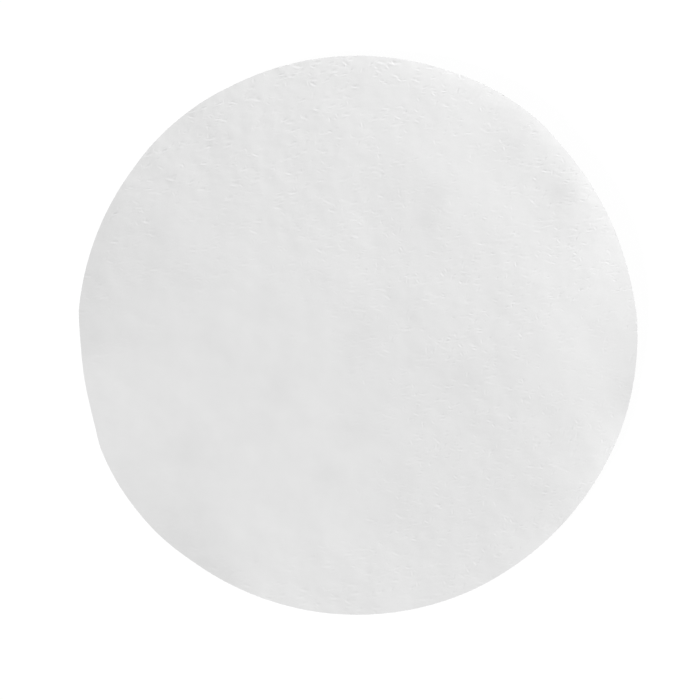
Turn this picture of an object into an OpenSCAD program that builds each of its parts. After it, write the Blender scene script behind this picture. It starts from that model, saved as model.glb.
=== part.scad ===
// Filter paper disc: one sheet of paper, cut to a circle and lying on a level surface.
// The middle lies flat. Paper bends one way at a time and does not stretch, so each side that
// has curled up is part of a cylinder: it leaves the flat middle along a straight bend line,
// level with it, and keeps the full thickness all the way out to the rim.
// Origin: centre of the disc, on the plane that it lies on. +Z is up.

/* [Sheet] */
// Diameter that the disc is cut to
disc_d = 110; // [110:1:240]
// Thickness of the paper
sheet_t = 0.2; // [0.15:0.01:0.5]

/* [First curled side] */
// Direction of this side from the centre, in degrees from +X
first_heading = 38; // [0:1:360]
// Width of this side, from its bend line out to the rim
first_band = 47; // [10:1:50]
// Radius that its underside is bent to
first_bend_r = 400; // [200:10:900]

/* [Second curled side] */
// Turn from the first side round to this one, in degrees
second_turn = 152; // [150:1:210]
// Width of this side, from its bend line out to the rim
second_band = 27; // [10:1:31]
// Radius that its underside is bent to
second_bend_r = 480; // [200:10:900]

/* [Hidden] */
$fn = 720;
disc_r = disc_d / 2;
second_heading = first_heading + second_turn;
// How far the round knife reaches below the sheet
knife_over = 1;

// The sheet on the flat side of one bend line, seen from above
module flat_side_of_bend(heading, band) {
    rotate(heading)
        translate([-disc_d, -disc_d])
            square([disc_d + disc_r - band, 2 * disc_d]);
}

module flat_middle() {
    linear_extrude(sheet_t)
        intersection() {
            flat_side_of_bend(first_heading, first_band);
            flat_side_of_bend(second_heading, second_band);
        }
}

// Section across a curled side: a slice of a ring that starts level at the bend line
module bent_section(band, bend_r) {
    intersection() {
        translate([0, bend_r])
            difference() {
                circle(r = bend_r);
                circle(r = bend_r - sheet_t);
            }
        square([2 * band, bend_r]);
    }
}

module curled_side(heading, band, bend_r) {
    rotate(heading)
        translate([disc_r - band, disc_d, 0])
            rotate([90, 0, 0])
                linear_extrude(2 * disc_d)
                    bent_section(band, bend_r);
}

module uncut_sheet() {
    flat_middle();
    curled_side(first_heading, first_band, first_bend_r);
    curled_side(second_heading, second_band, second_bend_r);
}

module round_knife() {
    translate([0, 0, -knife_over])
        cylinder(d = disc_d, h = disc_r);
}

module paper_disc() {
    color([0.91, 0.91, 0.905])
        intersection() {
            uncut_sheet();
            round_knife();
        }
}

paper_disc();
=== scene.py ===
# %% [markdown]
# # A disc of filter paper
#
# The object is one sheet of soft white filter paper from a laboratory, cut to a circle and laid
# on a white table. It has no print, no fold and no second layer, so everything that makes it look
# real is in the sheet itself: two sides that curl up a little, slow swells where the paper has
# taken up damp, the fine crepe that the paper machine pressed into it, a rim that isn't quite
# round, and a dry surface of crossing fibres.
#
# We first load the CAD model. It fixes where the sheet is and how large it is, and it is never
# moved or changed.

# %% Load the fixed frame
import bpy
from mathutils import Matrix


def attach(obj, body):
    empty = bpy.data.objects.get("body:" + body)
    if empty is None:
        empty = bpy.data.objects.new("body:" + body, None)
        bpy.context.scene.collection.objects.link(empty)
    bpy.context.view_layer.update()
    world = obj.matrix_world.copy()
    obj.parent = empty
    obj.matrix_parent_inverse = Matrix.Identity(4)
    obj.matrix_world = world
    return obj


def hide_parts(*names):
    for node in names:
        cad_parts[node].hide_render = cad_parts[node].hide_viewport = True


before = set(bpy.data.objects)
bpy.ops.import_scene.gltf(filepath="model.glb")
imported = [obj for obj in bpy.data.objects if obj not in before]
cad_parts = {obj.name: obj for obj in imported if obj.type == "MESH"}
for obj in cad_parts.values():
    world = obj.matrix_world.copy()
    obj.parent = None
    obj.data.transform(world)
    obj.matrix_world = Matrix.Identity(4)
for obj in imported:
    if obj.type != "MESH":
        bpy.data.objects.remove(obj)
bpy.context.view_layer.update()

# %% [markdown]
# ## Writing node trees as sums
#
# Blender's node trees can be drawn by hand or built by a script. A long formula is a tangle of
# Math nodes when it is drawn, and a single line when it is written. So we wrap an output socket
# in a small class, and overload its operators: `1 - wire * 2` then adds the two Math nodes.
# The reflected forms, such as `__rsub__`, are the ones that Python calls when a plain number
# stands on the left.

# %% A wire that can be used in a sum
import math

import bpy
from mathutils import Matrix, Vector

MM = 0.001


class Wire:
    """An output of a node. Arithmetic on it adds the Math nodes that work it out."""

    def __init__(self, tree, socket):
        self.tree = tree
        self.socket = socket

    def output(self, name):
        """Another output of the same node."""
        return Wire(self.tree, self.socket.node.outputs[name])

    def maths(self, operation, *operands):
        """A Math node, with these numbers and wires in its sockets."""
        return self.tree.add("ShaderNodeMath", {"operation": operation}, dict(enumerate(operands)))

    def __add__(self, other):
        return self.maths("ADD", self, other)

    def __radd__(self, other):
        return self.maths("ADD", other, self)

    def __sub__(self, other):
        return self.maths("SUBTRACT", self, other)

    def __rsub__(self, other):
        return self.maths("SUBTRACT", other, self)

    def __mul__(self, other):
        return self.maths("MULTIPLY", self, other)

    def __rmul__(self, other):
        return self.maths("MULTIPLY", other, self)

    def __truediv__(self, other):
        return self.maths("DIVIDE", self, other)

    def __rtruediv__(self, other):
        return self.maths("DIVIDE", other, self)

    def root(self):
        return self.maths("SQRT", self)

    def cosine(self):
        return self.maths("COSINE", self)

    def sine(self):
        return self.maths("SINE", self)

    def whole(self):
        return self.maths("FLOOR", self)

    def magnitude(self):
        """The value without its sign."""
        return self.maths("ABSOLUTE", self)

    def at_least(self, lowest):
        return self.maths("MAXIMUM", self, lowest)

    def ease(self, start, end, low=0.0, high=1.0):
        """low below start, high above end, and a smooth step between them."""
        return self.tree.add(
            "ShaderNodeMapRange",
            {"interpolation_type": "SMOOTHSTEP"},
            {"Value": self, "From Min": start, "From Max": end, "To Min": low, "To Max": high},
        )


# %% [markdown]
# Every node comes from one method, `add`. It sets the node's settings first, because they can
# change which sockets there are, and then fills the sockets with values or wires. The other
# methods are short names for nodes that are needed again and again. They work in geometry trees
# and in materials alike, so one formula can serve both.

# %% A tree that makes and wires its nodes
class Tree:
    """A node tree, of geometry or of a material, that grows by calls to add()."""

    def __init__(self, node_tree):
        self.node_tree = node_tree

    def add(self, kind, settings=None, inputs=None):
        """Make a node of this kind and return a wire from its first output."""
        node = self.node_tree.nodes.new(kind)
        for name, value in (settings or {}).items():
            setattr(node, name, value)
        for name, value in (inputs or {}).items():
            socket = node.inputs[name]
            if isinstance(value, Wire):
                self.node_tree.links.new(value.socket, socket)
            elif value is not None:
                socket.default_value = value
        return Wire(self, node.outputs[0]) if len(node.outputs) else None

    def vector(self, x=0.0, y=0.0, z=0.0):
        """One wire made of three."""
        return self.add("ShaderNodeCombineXYZ", inputs={"X": x, "Y": y, "Z": z})

    def split(self, vector):
        """Three wires made of one."""
        parts = self.add("ShaderNodeSeparateXYZ", inputs={"Vector": vector})
        return parts.output("X"), parts.output("Y"), parts.output("Z")

    def turn(self, vector, angle, back=False):
        """The vector, turned about Z by an angle in radians, or turned back by it."""
        return self.add(
            "ShaderNodeVectorRotate",
            {"rotation_type": "Z_AXIS", "invert": back},
            {"Vector": vector, "Angle": angle},
        )

    def noise(self, vector, width, detail=1.0, roughness=0.5):
        """Smooth noise from 0 to 1, about 0.5, whose lumps are about this wide."""
        return self.add(
            "ShaderNodeTexNoise",
            {"noise_dimensions": "3D"},
            {"Vector": vector, "Scale": 1 / width, "Detail": detail, "Roughness": roughness},
        )


trial = Tree(bpy.data.node_groups.new("trial", "GeometryNodeTree"))
trial_x, _, _ = trial.split(trial.vector(1.0, 2.0, 3.0))
before = len(trial.node_tree.nodes)
1 - trial_x * 2
print("1 - x * 2 adds", len(trial.node_tree.nodes) - before, "nodes")
bpy.data.node_groups.remove(trial.node_tree)

# %% [markdown]
# ## The camera
#
# The sheet is seen from straight above, and it fills most of a square view. A long lens from
# 1.2 m keeps the circle a circle: from close by, a lifted edge would look larger than the rest.
# The camera comes early, so that every later step can be judged from the final view. The disc's
# place in the view is given as shares of the view's width. They turn into metres through the
# disc's own width, which we measure on the CAD mesh.

# %% Measure the disc
cad_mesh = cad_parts["paper_disc"].data
disc_radius = round(max(v.co.xy.length for v in cad_mesh.vertices), 5)
print("disc radius", 1000 * disc_radius, "mm")

# %% Look straight down on the sheet
disc_share_of_view = 0.798
right_of_middle = 0.0104
above_middle = 0.0208
camera_height = 1.2
sensor_width = 36.0

view_width = 2 * disc_radius / disc_share_of_view
camera_data = bpy.data.cameras.new("camera")
camera_data.sensor_width = sensor_width
camera_data.lens = sensor_width * camera_height / view_width
camera = bpy.data.objects.new("camera", camera_data)
camera.location = (-right_of_middle * view_width, -above_middle * view_width, camera_height)
bpy.context.scene.collection.objects.link(camera)
bpy.context.scene.camera = camera
print("view", round(1000 * view_width, 1), "mm wide; lens", round(camera_data.lens, 1), "mm")

# %% [markdown]
# ## Measuring how the sheet lies
#
# The CAD sheet has a flat middle and two sides that curl up. Each side is part of a cylinder
# that leaves the flat along a straight bend line. Our own sheet has to lie in the same way, so
# we measure the curl on the CAD mesh instead of guessing it. The corners that flat faces share
# with curled faces are the ends of the bend lines.

# %% Find the bend lines in the CAD mesh
# The upward part of a face's normal is above the first if it is level, the second if it is curled.
LEVEL_FACE = 0.999999
CURLED_FACE = 0.9
# Corners whose places agree to this many digits are one corner.
CORNER_DIGITS = 7


def corners_of(faces):
    """The places of the corners of these faces of the CAD mesh."""
    places = [cad_mesh.vertices[i].co for f in faces for i in f.vertices]
    return {tuple(round(c, CORNER_DIGITS) for c in place) for place in places}


level_faces = [f for f in cad_mesh.polygons if f.normal.z > LEVEL_FACE]
curled_faces = [f for f in cad_mesh.polygons if CURLED_FACE < f.normal.z <= LEVEL_FACE]
thickness = round(level_faces[0].center.z, 6)
bend_points = [Vector(p) for p in corners_of(level_faces) & corners_of(curled_faces)]
curled_points = [Vector(p) for p in corners_of(curled_faces)]
print("thickness", thickness, "m;", len(bend_points), "points on the bend lines")

# %% [markdown]
# A bend line is drawn through the two of its points that are furthest apart. The side faces the
# way that is square to that line. It is a part of a circle, seen from its end: if it goes out by
# a band b and up by a rise h, the circle's radius is (b * b + h * h) / (2 * h).

# %% Measure each curled side
def measure_side(toward):
    """The curled side toward a point: its heading, where its bend starts, and the bend's radius."""
    ends = [p for p in bend_points if p.xy.dot(toward.xy) > 0]
    a, b = max(((a, b) for a in ends for b in ends), key=lambda pair: (pair[0] - pair[1]).length)
    square_to_bend = (b - a).xy.orthogonal().normalized()
    if square_to_bend.dot(toward.xy) < 0:
        square_to_bend.negate()
    start = square_to_bend.dot(a.xy)
    band = disc_radius - start
    rise = max(p.z for p in curled_points if p.xy.dot(square_to_bend) > start) - thickness
    heading = math.atan2(square_to_bend.y, square_to_bend.x)
    side = {"heading": heading, "start": start, "radius": (band**2 + rise**2) / (2 * rise)}
    print("side at", round(math.degrees(heading), 1), "degrees")
    print("  starts", round(start / MM, 2), "mm from the centre, rises", round(rise / MM, 2), "mm")
    print("  bent to a radius of", round(side["radius"] / MM, 1), "mm")
    return side


highest = max(curled_points, key=lambda p: p.z)
sides = [measure_side(highest), measure_side(-highest)]

# %% [markdown]
# ## One rule for the whole sheet
#
# A sheet of paper could be sculpted, or draped by a cloth simulation. But its shape follows
# plain rules, so Geometry Nodes can build it, and its sizes stay named inputs of the tree:
#
# 1. a square grid is eased into a circle, so that all its cells stay four-sided;
# 2. its edge is drawn down, ring by ring, into the cut rim;
# 3. a coarser grid closes the underside;
# 4. at the end, one move lifts every point by the curl, the swells, the waves of the rim and the
#    crepe, and lets the rim stray a little from a true circle.
#
# The inputs are set by their identifiers, before the object is first evaluated. The result is
# copied into a plain mesh and the modifier goes, so nothing stays live.

# %% Start, finish and run a geometry tree
SOCKET_KINDS = {
    int: "NodeSocketInt",
    float: "NodeSocketFloat",
    bpy.types.Material: "NodeSocketMaterial",
}


def start_geometry_tree(name, sizes):
    """A tree with a named input for each size. Returns the tree, and its inputs as wires."""
    node_tree = bpy.data.node_groups.new(name, "GeometryNodeTree")
    for label, value in sizes.items():
        kind = SOCKET_KINDS[type(value)]
        node_tree.interface.new_socket(label, in_out="INPUT", socket_type=kind)
    node_tree.interface.new_socket("Mesh", in_out="OUTPUT", socket_type="NodeSocketGeometry")
    tree = Tree(node_tree)
    inputs = tree.add("NodeGroupInput")
    return tree, {label: inputs.output(label) for label in sizes}


def finish_geometry_tree(tree, mesh, material):
    """Every tree ends in Realize Instances and Set Material."""
    real = tree.add("GeometryNodeRealizeInstances", inputs={"Geometry": mesh})
    painted = tree.add("GeometryNodeSetMaterial", inputs={"Geometry": real, "Material": material})
    tree.add("NodeGroupOutput", inputs={"Mesh": painted})
    print(tree.node_tree.name, "is made by", len(tree.node_tree.nodes), "nodes")


def grow(tree, name, sizes):
    """Run the tree with these sizes, and return a plain object that holds what it made."""
    piece = bpy.data.objects.new(name, bpy.data.meshes.new(name))
    bpy.context.scene.collection.objects.link(piece)
    modifier = piece.modifiers.new("grow", "NODES")
    modifier.node_group = tree.node_tree
    for item in tree.node_tree.interface.items_tree:
        if item.in_out == "INPUT":
            modifier[item.identifier] = sizes[item.name]
    depsgraph = bpy.context.evaluated_depsgraph_get()
    made = bpy.data.meshes.new_from_object(piece.evaluated_get(depsgraph), depsgraph=depsgraph)
    piece.modifiers.clear()
    piece.data = made
    made.name = name
    return piece


# %% [markdown]
# ## From a square to a circle
#
# A grid of squares can't end in a clean circle, and a fan of wedges is crowded at its centre.
# The way between is to ease a square grid into a circle: each point of the square from -1 to 1
# moves to (x * sqrt(1 - y*y/2), y * sqrt(1 - x*x/2)). The square's edge lands on the circle, and
# the rows stay nearly straight. They are turned to run along the crepe, with cells that are
# narrow across it, because the crepe's folds are too. The square place is stored on the points,
# because the rim needs it again later.

# %% Ease a square grid into a circle
PLACE = "square place"


def square_grid(tree, cells_along, cells_across):
    """A flat grid from -1 to 1, which remembers where its points were."""
    counts = {"Vertices X": cells_along + 1, "Vertices Y": cells_across + 1}
    grid = tree.add("GeometryNodeMeshGrid", inputs={"Size X": 2.0, "Size Y": 2.0, **counts})
    return tree.add(
        "GeometryNodeStoreNamedAttribute",
        {"data_type": "FLOAT_VECTOR", "domain": "POINT"},
        {"Geometry": grid, "Name": PLACE, "Value": tree.add("GeometryNodeInputPosition")},
    )


def stored_place(tree):
    """The square place of each point, wherever the point has moved since."""
    return tree.add("GeometryNodeInputNamedAttribute", {"data_type": "FLOAT_VECTOR"}, {"Name": PLACE})


def set_circle(tree, size, mesh, square, reach, level, selection=None):
    """Put points at their place on a circle of this reach, at this level."""
    u, v, _ = tree.split(square)
    round_place = tree.vector(u * (1 - v * v / 2).root(), v * (1 - u * u / 2).root())
    x, y, _ = tree.split(tree.turn(round_place, size["Crepe heading"]))
    moves = {"Selection": selection, "Position": tree.vector(x * reach, y * reach, level)}
    return tree.add("GeometryNodeSetPosition", inputs={"Geometry": mesh, **moves})


# %% [markdown]
# ## The cut rim
#
# A disc like this is punched out by a round steel knife, which leaves an upright cut as thin as
# the sheet. In the mesh, three new rings make it: a strip of flat along the upper edge, far
# narrower than a hair, which keeps the smooth shading from running over the corner, then the cut
# itself, and a small slant at its foot. Each ring is the open edge of the mesh, extruded in place
# and then moved. For the last one, three points of every four slide onto the fourth, so that a
# grid with a quarter as many cells each way can close the underside. The fine cells are for the
# face that is seen.

# %% Draw the rim down from the open edge
UNDERSIDE_STEP = 4


def extrude_ring(tree, size, mesh, square, reach, level):
    """One more ring outside the mesh's open edge."""
    open_edge = tree.add(
        "FunctionNodeCompare",
        {"data_type": "INT", "operation": "EQUAL"},
        {2: tree.add("GeometryNodeInputMeshEdgeNeighbors"), 3: 1},
    )
    ring = tree.add(
        "GeometryNodeExtrudeMesh",
        {"mode": "EDGES"},
        {"Mesh": mesh, "Selection": open_edge, "Offset Scale": 0.0},
    )
    return set_circle(tree, size, ring, square, reach, level, ring.output("Top"))


def coarse_place(tree, size, square):
    """The square place, moved to the nearest place on the underside's coarser grid."""
    u, v, _ = tree.split(square)
    # A number is rounded to the nearest whole one by adding a half and rounding down.
    steps_u = size["Cells along"] / (2 * UNDERSIDE_STEP)
    steps_v = size["Cells across"] / (2 * UNDERSIDE_STEP)
    coarse_u = ((u + 1) * steps_u + 0.5).whole() / steps_u - 1
    coarse_v = ((v + 1) * steps_v + 0.5).whole() / steps_v - 1
    return tree.vector(coarse_u, coarse_v)


# %% [markdown]
# Merge by Distance then sews the underside to the last ring, and the disc is a closed solid. The
# distance is far smaller than the narrow strip is wide, or the strip would be merged away too.

# %% A flat disc with a cut rim
SAME_POINT = 0.0003 * MM


def closed_disc(tree, size):
    """The whole sheet before it is lifted: a thin, closed, flat disc."""
    along, across = size["Cells along"], size["Cells across"]
    reach, top, slant = size["Disc radius"], size["Thickness"], size["Slant"]
    place = stored_place(tree)
    rings = [
        (place, reach, top),
        (place, reach, slant),
        (coarse_place(tree, size, place), reach - slant, 0.0),
    ]
    grid = square_grid(tree, along, across)
    disc = set_circle(tree, size, grid, place, reach - size["Edge"], top)
    for square, ring_reach, level in rings:
        disc = extrude_ring(tree, size, disc, square, ring_reach, level)
    coarse_grid = square_grid(tree, along / UNDERSIDE_STEP, across / UNDERSIDE_STEP)
    under = set_circle(tree, size, coarse_grid, place, reach - slant, 0.0)
    under = tree.add("GeometryNodeFlipFaces", inputs={"Mesh": under})
    both = tree.add("GeometryNodeJoinGeometry")
    for part in (disc, under):
        tree.node_tree.links.new(part.socket, both.socket.node.inputs[0])
    return tree.add("GeometryNodeMergeByDistance", inputs={"Geometry": both, "Distance": SAME_POINT})


# %% [markdown]
# ## Curl and swells
#
# Paper bends one way at a time. Past its bend line a curled side rises as a cylinder does:
# by d * d / (r + sqrt(r*r - d*d)) at a distance d from the line, for a bend of radius r.
#
# Damp makes the sheet swell and dip over a few centimetres, mostly by a tenth or two of a
# millimetre. That is hard to see from the side, but on white paper the light shows it. Each is a
# smooth oval dome with its own middle, heading, size and rise, and a hollow is one that goes
# down. They could be left to noise, but then they would fall anywhere: as a list, they lie where
# the real sheet has them, and two layers of faint noise keep the rest from being dead flat.

# %% How far the curl and the swells lift the sheet
def curl_rise(x, y, heading, start, radius):
    """How far a curled side has risen at (x, y)."""
    past = (x * heading.cosine() + y * heading.sine() - start).at_least(0.0)
    return past * past / (radius + (radius * radius - past * past).root())


def swell_rise(x, y, middle, heading, half_length, half_width, rise):
    """A low oval swell, or a hollow where rise is below 0. The heading is its long axis's."""
    cosine, sine = math.cos(math.radians(heading)), math.sin(math.radians(heading))
    off_x, off_y = x - middle[0] * MM, y - middle[1] * MM
    along = (off_x * cosine + off_y * sine) / (half_length * MM)
    across = (off_y * cosine - off_x * sine) / (half_width * MM)
    dome = (1 - along * along - across * across).at_least(0.0)
    return dome * dome * rise * MM


# Middle (x, y), heading of the long axis, half length, half width and rise, in mm and degrees.
swells = [
    ((43, 31), 122, 16, 12, -0.46),
    ((34, 44), 132, 9, 9, -0.20),
    ((38, 30), 122, 9, 7, 0.13),
    ((26, 34), 124, 10, 8, 0.09),
    ((5, 20), 115, 17, 14, 0.26),
    ((35, 1), 100, 18, 11, -0.22),
    ((28, -6), 115, 11, 8, -0.08),
    ((53, -18), 120, 14, 10, 0.16),
    ((-37, 17), 120, 10, 9, -0.07),
    ((-29, 18), 120, 14, 13, -0.16),
    ((-19, 27), 115, 13, 10, -0.08),
    ((-42, 31), 120, 10, 9, 0.10),
    ((-19, 46), 122, 14, 12, 0.18),
    ((-8, 54), 122, 20, 17, 0.26),
    ((-32, -6), 120, 12, 11, 0.15),
    ((-43, -10), 120, 14, 11, 0.08),
    ((-24, 25), 122, 16, 8, -0.07),
    ((-34, 39), 122, 12, 8, 0.11),
    ((25, 48), 122, 8, 6, -0.09),
    ((9, 45), 115, 10, 8, 0.07),
    ((16, 13), 100, 14, 8, 0.06),
    ((38, -22), 110, 9, 8, 0.07),
    ((43, 11), 110, 7, 6, -0.06),
    ((12, -49), 120, 10, 9, 0.08),
    ((3, -36), 120, 14, 12, 0.14),
    ((-32, -46), 120, 9, 7, 0.09),
]
print(len(swells), "swells and hollows")

# %% [markdown]
# ## The rim's waves and strays
#
# The outermost centimetres have nothing to hold them flat, so the rim rises and sinks in low
# waves, some broad and some no wider than a fingertip. The circle isn't perfect either. The
# sheet has shrunk and stretched a little since it was cut, so its rim strays by up to two thirds
# of a millimetre. Both are lists of places round the rim, given by their headings, and both fade
# out smoothly, to either side and toward the middle of the sheet.

# %% How far the rim rises and strays
# The strays fade in between this share of the radius and the rim.
STRAY_STARTS = 0.8


def from_centre(x, y):
    """The distance from the centre, but at least 1 mm, because it is divided by."""
    return (x * x + y * y).root().at_least(MM)


def near_heading(x, y, heading, half_width):
    """1 toward a heading from the centre, and smoothly down to 0 at half_width to either side."""
    toward = x * math.cos(math.radians(heading)) + y * math.sin(math.radians(heading))
    return (toward / from_centre(x, y)).ease(math.cos(math.radians(half_width)), 1.0)


def wave_rise(x, y, size, heading, half_width, band, rise):
    """A low wave of the rim: how far a band of it has risen, or dropped where rise is below 0."""
    past = (from_centre(x, y) - size["Disc radius"] + band * MM).at_least(0.0)
    return past * past / (band * MM) ** 2 * near_heading(x, y, heading, half_width) * rise * MM


def rim_stray(x, y, size):
    """How far the rim strays outward, as a share of a point's distance from the centre."""
    outward = 0.0
    for heading, half_width, stray in rim_strays:
        outward = outward + near_heading(x, y, heading, half_width) * stray * MM
    away = from_centre(x, y)
    return outward * (away / size["Disc radius"]).ease(STRAY_STARTS, 1.0) / away


# Heading, half width, band and rise, in mm and degrees.
rim_waves = [
    (169, 23, 18, 0.32),
    (199, 16, 22, -0.44),
    (233, 16, 12, 0.32),
    (262, 42, 22, -0.22),
    (326, 26, 12, 0.62),
    (330, 24, 3, 0.12),
    (355, 14, 8, -0.14),
    (24, 16, 7, 0.10),
    (40, 46, 8, 0.13),
    (56, 46, 3, 0.09),
    (98, 52, 6, 0.20),
]
# Heading, half width and stray, in mm and degrees.
rim_strays = [
    (189, 15, -0.64),
    (217, 18, 0.38),
    (352, 20, 0.10),
    (26, 24, -0.38),
    (57, 13, 0.25),
    (130, 14, 0.20),
    (315, 22, -0.14),
]
print(len(rim_waves), "waves and", len(rim_strays), "strays of the rim")

# %% [markdown]
# ## The crepe's creases
#
# Crepe comes from the machine, which scrapes the wet sheet off a roller and crowds it into fine
# folds. What catches the light most are its creases, short raised marks of a millimetre or two.
# Noise can't make them, because each one is a thing of its own, with a place, a heading and a
# height. So they are strewn as the cells of a Voronoi texture are. Around the middle of a cell
# stands an oval dome, and a cosine across it makes the dome a ripple, high in the middle and
# dented beside it. The cell's colour is three random numbers, which say whether it has a crease,
# how high that is, and how far it is turned from the others. The number for the turn goes through
# a cubic curve, so most creases turn only a little, and a few turn far, mostly to one side.
#
# Four such scatters lie over each other. Two have long creases that nearly follow the crepe, and
# two have short knots that turn far more. The long ones are higher toward the left of the sheet,
# and the knots toward the right, where the crepe is more tangled.

# %% The shape of a crease
# How far the middles of the cells stray from an even grid, from 0 to 1.
SCATTER = 0.8
# Each layer is moved along the texture, by this many mm for each step of its seed.
LAYER_SHIFT = 10
# The cubic curve of the turn: what its third, second and first powers are multiplied by.
TURN_CUBED, TURN_SQUARED, TURN_PLAIN = 0.55, 0.35, 0.2
# The ripple's angle from the middle of a crease to its side, in radians. Its crest lies to one
# side of the middle: by this angle, and by up to that much more for the highest creases.
RIPPLE, CREST, HIGH_CREST = 3.3, 0.6, 0.7
# A cell gets a faint crease if its number is this close to the limit.
FAINT = 0.03
# The height of the lowest crease, as a share of the highest.
LOWEST = 0.3

# %% Strew short creases
def creases(tree, along, across, cell, half_length, half_width, spread, share, seed):
    """Short raised creases in some share of the cells of a scatter, from about 0 to 1."""
    along = along + seed * LAYER_SHIFT * MM
    cells = tree.add(
        "ShaderNodeTexVoronoi",
        {"voronoi_dimensions": "2D", "feature": "F1"},
        {"Vector": tree.vector(along, across), "Scale": 1 / cell, "Randomness": SCATTER},
    )
    chance, height, random_turn = tree.split(cells.output("Color"))
    middle_along, middle_across, _ = tree.split(cells.output("Position"))
    off_along, off_across = along - middle_along, across - middle_across
    turn = random_turn * 2 - 1
    turn = turn * (turn * (turn * TURN_CUBED - TURN_SQUARED) + TURN_PLAIN) * spread
    down_length = (off_along * turn.cosine() + off_across * turn.sine()) / (cell * half_length)
    over_width = (off_across * turn.cosine() - off_along * turn.sine()) / (cell * half_width)
    dome = (1 - down_length * down_length - over_width * over_width).at_least(0.0)
    ripple = (over_width * RIPPLE - height * HIGH_CREST - CREST).cosine()
    present = chance.ease(1 - FAINT - share, 1 + FAINT - share)
    return dome * dome * ripple * present * (height * (1 - LOWEST) + LOWEST)


# %% [markdown]
# ## The whole crepe
#
# Between the creases lie soft folds, which are noise that is stretched along the crepe, and
# puckers, which are rounder noise and a little larger. A slow drift moves the folds and creases
# across, so that no row is straight, and the creases gather in loose groups. The crepe isn't the
# same everywhere. The machine pressed one side of the sheet smoother, and handling has smoothed a
# few other places, so the rise is made smaller near some quiet spots, and larger toward the far
# rim.

# %% Where the crepe is strong and where it is quiet
# The crepe grows up the sheet between these two shares of the radius, to this strength.
GROWS_FROM, GROWS_TO, FAR_STRENGTH = 0.2, 0.9, 1.5
# Place as shares of the disc's radius, where it starts and ends to fade, and the strength there.
quiet_spots = [
    ((-0.5, -0.35), (0.3, 0.95), (0.12, 0.8)),
    ((0.36, 0.62), (0.05, 0.55), (0.45, 1.0)),
    ((0.6, -0.7), (0.1, 0.8), (0.68, 1.0)),
    ((0.86, -0.1), (0.08, 0.38), (0.45, 1.0)),
]


def crepe_strength(x, y, size):
    """How deep the crepe is here: about 0.1 where it is quietest, and at most 1.2."""
    x, y = x / size["Disc radius"], y / size["Disc radius"]
    strength = y.ease(GROWS_FROM, GROWS_TO, 1.0, FAR_STRENGTH)
    for (spot_x, spot_y), (near, far), (weakest, strongest) in quiet_spots:
        off_x, off_y = x - spot_x, y - spot_y
        away = (off_x * off_x + off_y * off_y).root()
        strength = strength * away.ease(near, far, weakest, strongest)
    return strength


print("the crepe is quieter at", len(quiet_spots), "spots")

# %% The layers of creases
# Cell, half length and half width, how far they turn, and their height to the left and right.
crease_layers = [
    (1.0, 0.38, 0.20, 0.7, 1.05, 0.75),
    (1.2, 0.38, 0.20, 0.6, 1.0, 0.65),
    (0.8, 0.30, 0.22, 2.2, 0.55, 1.4),
    (0.7, 0.30, 0.24, 2.4, 0.45, 1.3),
]
# Between these shares of the radius, the height to the left gives way to that to the right.
LEFT_ENDS, RIGHT_STARTS = -0.4, 0.5
# Between these two values of the noise that gathers them, the creases go from few to many: the
# share of the cells that have one.
GATHER_FROM, GATHER_TO = 0.38, 0.62
FEW, MANY = 0.06, 0.85
print(len(crease_layers), "layers of creases")

# %% How far the crepe lifts the sheet
# Each noise is read from a slice of its own, so that no two are alike.
FOLD_SLICE, PUCKER_SLICE, GATHER_SLICE = 0.3, 0.6, 0.9


def crepe_rise(tree, x, y, size):
    """How far the crepe lifts the sheet at (x, y)."""
    seed = size["Seed"]
    along, across, _ = tree.split(tree.turn(tree.vector(x, y), size["Crepe heading"], back=True))
    drift = tree.noise(tree.vector(along, across, seed), size["Drift width"], detail=2.0) - 0.5
    across = across + drift * size["Drift"]
    long_place = tree.vector(along / size["Fold length"], across, seed + FOLD_SLICE)
    folds = (tree.noise(long_place, size["Fold width"]) - 0.5) * size["Fold depth"]
    pucker_place = tree.vector(x, y, seed + PUCKER_SLICE)
    puckers = (tree.noise(pucker_place, size["Pucker width"]) - 0.5) * size["Pucker depth"]
    gather_noise = tree.noise(tree.vector(x, y, seed + GATHER_SLICE), size["Gather width"])
    share = gather_noise.ease(GATHER_FROM, GATHER_TO, FEW, MANY)
    marks = 0.0
    for layer, (cell_share, half_length, half_width, spread, left, right) in enumerate(crease_layers):
        cell = size["Crease cell"] * cell_share
        layer_marks = creases(
            tree, along, across, cell, half_length, half_width, spread, share, seed + layer
        )
        height = (x / size["Disc radius"]).ease(LEFT_ENDS, RIGHT_STARTS, left, right)
        marks = marks + layer_marks * height
    return (folds + puckers + marks * size["Crease height"]) * crepe_strength(x, y, size)


# %% [markdown]
# ## The tree, put together
#
# Every size has a name here, and becomes an input of the tree. The headings are angles from the
# X axis. Edge is the width of the strip along the upper edge, and Slant that of the slant at the
# foot of the cut. The seed picks the noise: the same seed always gives the same sheet.

# %% Sizes of the sheet
paper = bpy.data.materials.new("filter paper")

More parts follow.
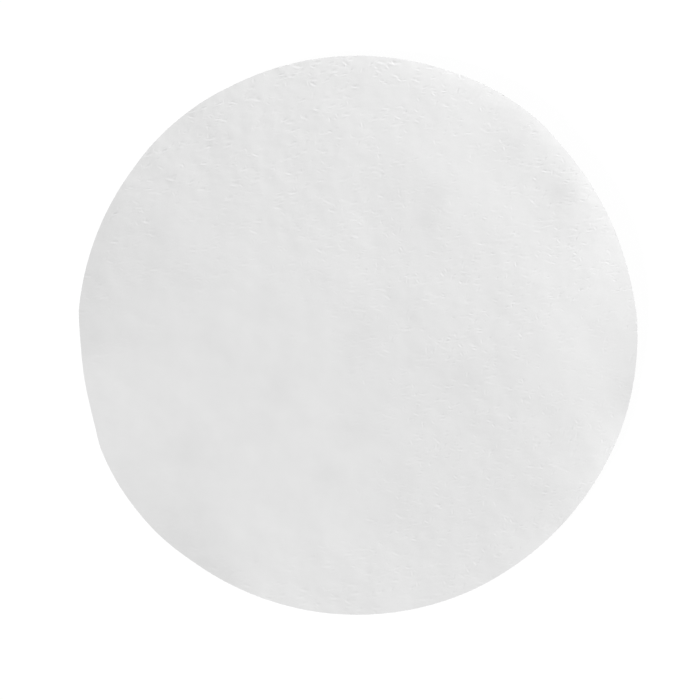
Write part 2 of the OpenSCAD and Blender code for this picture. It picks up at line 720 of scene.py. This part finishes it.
sheet_sizes = {
    "Disc radius": disc_radius,
    "Thickness": thickness,
    "Edge": 0.0015 * MM,
    "Slant": 0.01 * MM,
    "First heading": sides[0]["heading"],
    "First start": sides[0]["start"],
    "First radius": sides[0]["radius"],
    "Second heading": sides[1]["heading"],
    "Second start": sides[1]["start"],
    "Second radius": sides[1]["radius"],
    "Slow swell": 0.24 * MM,
    "Slow swell width": 16.0 * MM,
    "Quick swell": 0.08 * MM,
    "Quick swell width": 4.5 * MM,
    "Crepe heading": math.radians(13.0),
    "Drift": 2.4 * MM,
    "Drift width": 6.0 * MM,
    "Fold width": 1.0 * MM,
    "Fold length": 1.8,
    "Fold depth": 0.018 * MM,
    "Pucker width": 2.8 * MM,
    "Pucker depth": 0.06 * MM,
    "Gather width": 5.0 * MM,
    "Crease cell": 2.7 * MM,
    "Crease height": 0.061 * MM,
    "Cells along": 212,
    "Cells across": 400,
    "Seed": 4.0,
    "Material": paper,
}
print("the tree has", len(sheet_sizes), "inputs")

# %% Add up all that lifts a point
SWELL_SLICE = 5

tree, size = start_geometry_tree("paper sheet", sheet_sizes)
flat_sheet = closed_disc(tree, size)
x, y, _ = tree.split(tree.add("GeometryNodeInputPosition"))
rise = crepe_rise(tree, x, y, size)
for side in ("First", "Second"):
    heading, start, radius = size[side + " heading"], size[side + " start"], size[side + " radius"]
    rise = rise + curl_rise(x, y, heading, start, radius)
for swell in swells:
    rise = rise + swell_rise(x, y, *swell)
for wave in rim_waves:
    rise = rise + wave_rise(x, y, size, *wave)
for place, swell in enumerate(("Slow swell", "Quick swell"), start=SWELL_SLICE):
    swell_noise = tree.noise(tree.vector(x, y, size["Seed"] + place), size[swell + " width"])
    rise = rise + swell_noise * size[swell]
stray = rim_stray(x, y, size)
print("the rise is worked out by", len(tree.node_tree.nodes), "nodes so far")

# %% Lift the sheet
offset = tree.vector(x * stray, y * stray, rise)
lifted = tree.add("GeometryNodeSetPosition", inputs={"Geometry": flat_sheet, "Offset": offset})
clean = tree.add("GeometryNodeRemoveAttribute", inputs={"Geometry": lifted, "Name": PLACE})
smooth = tree.add("GeometryNodeSetShadeSmooth", inputs={"Geometry": clean})
finish_geometry_tree(tree, smooth, size["Material"])

sheet = grow(tree, "filter_paper_sheet", sheet_sizes)
triangles = sum(len(f.vertices) - 2 for f in sheet.data.polygons)
print(sheet.name, "has", len(sheet.data.vertices), "points and", triangles, "triangles")

# %% [markdown]
# The hollows and the noise have moved the underside up and down, so it no longer touches the
# table. A sheet comes to rest on its lowest point. We move the mesh itself, not the object, which
# stays at the origin.

# %% Lay the sheet down
lowest = min(v.co.z for v in sheet.data.vertices)
sheet.data.transform(Matrix.Translation((0, 0, -lowest)))
print("the lowest point was", round(1000 * lowest, 3), "mm off the table")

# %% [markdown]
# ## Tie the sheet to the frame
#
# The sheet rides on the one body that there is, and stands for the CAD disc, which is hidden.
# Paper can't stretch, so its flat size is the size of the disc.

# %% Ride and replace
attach(sheet, "root")
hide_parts("paper_disc")

# %% [markdown]
# ## Fibres
#
# Filter paper is a felt of cotton fibres, each a few hundredths of a millimetre thick and
# crossing the others at all angles. From a hand's width away they can just be seen. They could
# be thousands of thin curls of mesh, but the surface is one, and they are pressed into it. So
# they are drawn in the material: where noise is stretched along one heading, the line on which
# it is just one half is a long curly thread. Six such noises, each turned further, make a felt,
# and each one is broken off where the next is low, because fibres have ends.

# %% A felt of fibres
FIBRE_LAYERS = 6
FIBRE_CURL = 0.5 * MM
FIBRE_LENGTH = 2.5
FIBRE_HEADING = 0.3
FIBRE_SLICE = 0.1
# How far from one half the noise may be on a fibre, and where the next noise breaks it off.
FIBRE_WIDTH = 0.04
BREAK_FROM, BREAK_TO = 0.44, 0.56


def fibre_felt(tree, spot):
    """Curly fibres that cross at all angles, 1 on their crests and 0 between them."""
    waves = []
    for layer in range(FIBRE_LAYERS):
        heading = math.pi * layer / FIBRE_LAYERS + FIBRE_HEADING
        along, across, _ = tree.split(tree.turn(spot, heading))
        place = tree.vector(along / FIBRE_LENGTH, across, layer * FIBRE_SLICE)
        waves.append(tree.noise(place, FIBRE_CURL))
    felt = 0.0
    for wave, breaks in zip(waves, waves[1:] + waves[:1]):
        thread = (wave - 0.5).magnitude().ease(0.0, FIBRE_WIDTH, 1.0, 0.0)
        felt = felt + thread * breaks.ease(BREAK_FROM, BREAK_TO)
    return felt


# %% [markdown]
# ## The paper itself
#
# Bleached cotton is a dull white: it sends back four fifths of the light, to every side alike,
# with hardly any shine. Its white isn't even. The pulp settles in soft clouds and smaller flocks.
# On top of that, a few round spots are made darker: painted shade, where the real sheet lies in shade.
#
# The bump adds what the mesh is too coarse for. A crease is only as wide as a few of the mesh's
# cells, which blunts it, so half of the crepe's own rise is added again. Fibres and a fine grain
# come on top. All of it reads Object coordinates, in metres, so each size here is a real size.

# %% Painted shade in round spots
def dot_at(x, y, middle, radius):
    """1 in the middle of a round spot, and smoothly down to 0 at its radius, in millimetres."""
    off_x = (x - middle[0] * MM) / (radius * MM)
    off_y = (y - middle[1] * MM) / (radius * MM)
    dome = (1 - off_x * off_x - off_y * off_y).at_least(0.0)
    return dome * dome


# Painted shade: middle (x, y) and radius in mm, and how much darker the middle is painted.
painted_shade_spots = [
    ((1, -1), 5, 0.020),
    ((-6, -28), 4, 0.020),
    ((-16, -11), 5, 0.020),
    ((-34, -22), 5, 0.020),
    ((36, -31), 4, 0.020),
    ((-20, -18), 5, 0.020),
    ((-1, -19), 6, 0.020),
    ((21, -8), 6, 0.020),
    ((16, 28), 3.5, 0.030),
    ((14, 23), 4, 0.020),
    ((28.5, 36), 5, 0.022),
    ((40, 28), 4, 0.034),
]
print(len(painted_shade_spots), "thin spots")

# %% The colour and the relief of the paper
PAPER_WHITE = 0.795
UNEVENNESS = 0.02
CLOUD_WIDTH, FLOCK_WIDTH, GRAIN_WIDTH = 7.0 * MM, 2.4 * MM, 0.3 * MM
# How much of the crepe's rise is added as bump, and the other heights, in mm.
CREPE_SHARE = 0.5
FIBRE_HEIGHT, GRAIN_HEIGHT = 0.0011, 0.0010


def start_material(material):
    """An empty node tree for a material, or for the world."""
    material.use_nodes = True
    material.node_tree.nodes.clear()
    return Tree(material.node_tree)


tree = start_material(paper)
spot = tree.add("ShaderNodeTexCoord").output("Object")
x, y, _ = tree.split(spot)
# thin holds the painted shade of these spots, which is taken off the white below.
thin = 0.0
for middle, radius, darker in painted_shade_spots:
    thin = thin + dot_at(x, y, middle, radius) * darker
clouds = (tree.noise(spot, CLOUD_WIDTH, detail=3.0) - 0.5) * UNEVENNESS
flocks = (tree.noise(spot, FLOCK_WIDTH) - 0.5) * UNEVENNESS
white = PAPER_WHITE + clouds + flocks - thin
fibres = fibre_felt(tree, spot)
grain = tree.noise(spot, GRAIN_WIDTH, detail=3.0, roughness=0.6) - 0.5
relief = crepe_rise(tree, x, y, sheet_sizes) * CREPE_SHARE
relief = relief + fibres * FIBRE_HEIGHT * MM + grain * GRAIN_HEIGHT * MM
print("colour and relief of", paper.name, "are worked out by", len(paper.node_tree.nodes), "nodes")

# %% Finish the paper's material
PAPER_ROUGHNESS = 0.9
FIBRE_GLOSS = 0.05
PAPER_SHINE = 0.2

colour_inputs = {"Red": white, "Green": white, "Blue": white}
relief_inputs = {"Strength": 1.0, "Distance": 1.0, "Filter Width": 1.0, "Height": relief}
paper_inputs = {
    "Base Color": tree.add("ShaderNodeCombineColor", inputs=colour_inputs),
    "Roughness": PAPER_ROUGHNESS - fibres * FIBRE_GLOSS,
    "Specular IOR Level": PAPER_SHINE,
    "Normal": tree.add("ShaderNodeBump", inputs=relief_inputs),
}
shader = tree.add("ShaderNodeBsdfPrincipled", inputs=paper_inputs)
tree.add("ShaderNodeOutputMaterial", inputs={"Surface": shader})
print(paper.name, "has", len(paper.node_tree.nodes), "nodes")

# %% [markdown]
# ## The table
#
# The sheet lies on a white table that runs on past the edge of the view. A white surface in this
# light would be no whiter than the paper, and the sheet would be lost on it. So what the camera
# sees of the table is mostly a plain glow, just strong enough to be white, and a little of the lit
# surface, which keeps the sheet's faint shadow. The Light Path node tells the two apart: for the
# light that bounces up to the sheet, the table is a plain matt white.

# %% Tell what is seen from what only lights
WHITE = (1.0, 1.0, 1.0, 1.0)


def seen_directly(tree):
    """1 for what is seen, also in a shine or through glass, and 0 for light that falls on things."""
    path = tree.add("ShaderNodeLightPath")
    seen = path.output("Is Camera Ray").at_least(path.output("Is Glossy Ray"))
    return seen.at_least(path.output("Is Transmission Ray"))


# %% A white table that keeps a faint shadow
table_reach = 4.0
table_level = -0.02 * MM
table_white = 0.9
glow_strength = 1.03
glow_share = 0.95

table_material = bpy.data.materials.new("white table")
tree = start_material(table_material)
matt_white = (table_white, table_white, table_white, 1.0)
lit = tree.add("ShaderNodeBsdfDiffuse", inputs={"Color": matt_white})
glow = tree.add("ShaderNodeEmission", inputs={"Color": WHITE, "Strength": glow_strength})
mixed = tree.add("ShaderNodeMixShader", inputs={0: seen_directly(tree) * glow_share, 1: lit, 2: glow})
tree.add("ShaderNodeOutputMaterial", inputs={"Surface": mixed})

corner_signs = [(-1, -1), (1, -1), (1, 1), (-1, 1)]
corners = [(table_reach * along, table_reach * across, table_level) for along, across in corner_signs]
table_mesh = bpy.data.meshes.new("table")
table_mesh.from_pydata(corners, [], [(0, 1, 2, 3)])
table_mesh.materials.append(table_material)
table = bpy.data.objects.new("table", table_mesh)
bpy.context.scene.collection.objects.link(table)
print("table", 2 * table_reach, "m wide,", round(-1000 * table_level, 3), "mm under the sheet")

# %% [markdown]
# ## Light from a window, and an even room
#
# Relief as low as this shows only where light grazes it. A window to the lower left of the view
# gives such light, and its width softens every shade. A Sun lamp stands in for it: it is as
# strong at one end of the sheet as at the other, and its angle is how wide it looks from the
# sheet. White walls light the rest from all around, and they are white themselves where the
# camera sees them. Both are set so that paper that sends back four fifths of the light also
# looks four fifths as bright as white.

# %% Light the sheet
window_heading = math.radians(214.0)
window_height = math.radians(32.0)
window_width = math.radians(12.0)
window_strength = 3.40
wall_light = 0.386

window_data = bpy.data.lights.new("window", "SUN")
window_data.angle = window_width
window_data.energy = window_strength
window = bpy.data.objects.new("window", window_data)
window.location = Vector((math.cos(window_heading), math.sin(window_heading), math.tan(window_height)))
window.rotation_euler = window.location.to_track_quat("Z", "Y").to_euler()
bpy.context.scene.collection.objects.link(window)

# %% Light the room around it
room = bpy.data.worlds.new("room")
bpy.context.scene.world = room
tree = start_material(room)
light_of_walls = tree.add("ShaderNodeBackground", inputs={"Color": WHITE, "Strength": wall_light})
seen_walls = tree.add("ShaderNodeBackground", inputs={"Color": WHITE, "Strength": 1.0})
walls = {0: seen_directly(tree), 1: light_of_walls, 2: seen_walls}
mixed = tree.add("ShaderNodeMixShader", inputs=walls)
tree.add("ShaderNodeOutputWorld", inputs={"Surface": mixed})
bpy.context.scene.view_settings.view_transform = "Standard"
level_light = window_strength * math.sin(window_height) / math.pi + wall_light
print("a level white surface sends back", round(level_light, 2), "of white")
